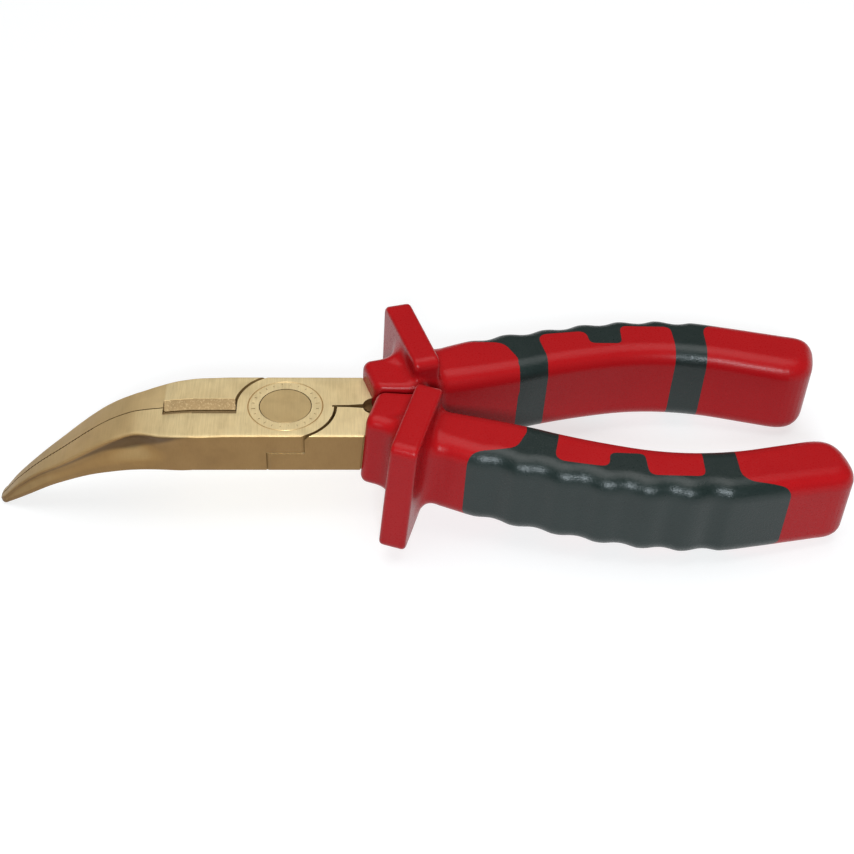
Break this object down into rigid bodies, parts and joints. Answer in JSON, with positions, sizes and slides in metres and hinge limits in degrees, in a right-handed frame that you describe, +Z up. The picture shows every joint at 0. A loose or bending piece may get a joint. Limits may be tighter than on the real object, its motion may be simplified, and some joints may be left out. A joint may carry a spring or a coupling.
{
  "type": "bent needle nose pliers",
  "caption": "Insulated bent needle nose pliers in bronze alloy with a half-lap joint, side cutter, hand guards and two-colour soft grips that open and close.",
  "frame": {"origin": "on the pivot axis at the joint's flat underside", "axes": "+X from the pivot to the handles, +Y to the right handle seen from the handles, +Z up through the joint, with the nose bent towards -Z"},
  "size_m": [0.2014, 0.065, 0.0407],
  "materials": {
    "bronze": "ground and brushed bronze alloy",
    "rivet": "ground flush with the joint",
    "sleeve": "inner insulation",
    "red_grip": "satin moulded plastic",
    "soft_overlay": "soft matte elastomer"
  },
  "bodies": {
    "lower_half": {"lower_lever": "bronze", "left_tang_sleeve": "sleeve", "left_grip": "red_grip", "left_overlay": "soft_overlay"},
    "upper_half": {"upper_lever": "bronze", "pivot_rivet": "rivet", "right_tang_sleeve": "sleeve", "right_grip": "red_grip", "right_overlay": "soft_overlay"}
  },
  "joints": [
    {"name": "jaw_opening", "type": "hinge", "parent": "lower_half", "child": "upper_half", "pos_m": [0, 0, 0.00535], "axis": [0, 0, 1], "range_deg": [0, 40]}
  ]
}
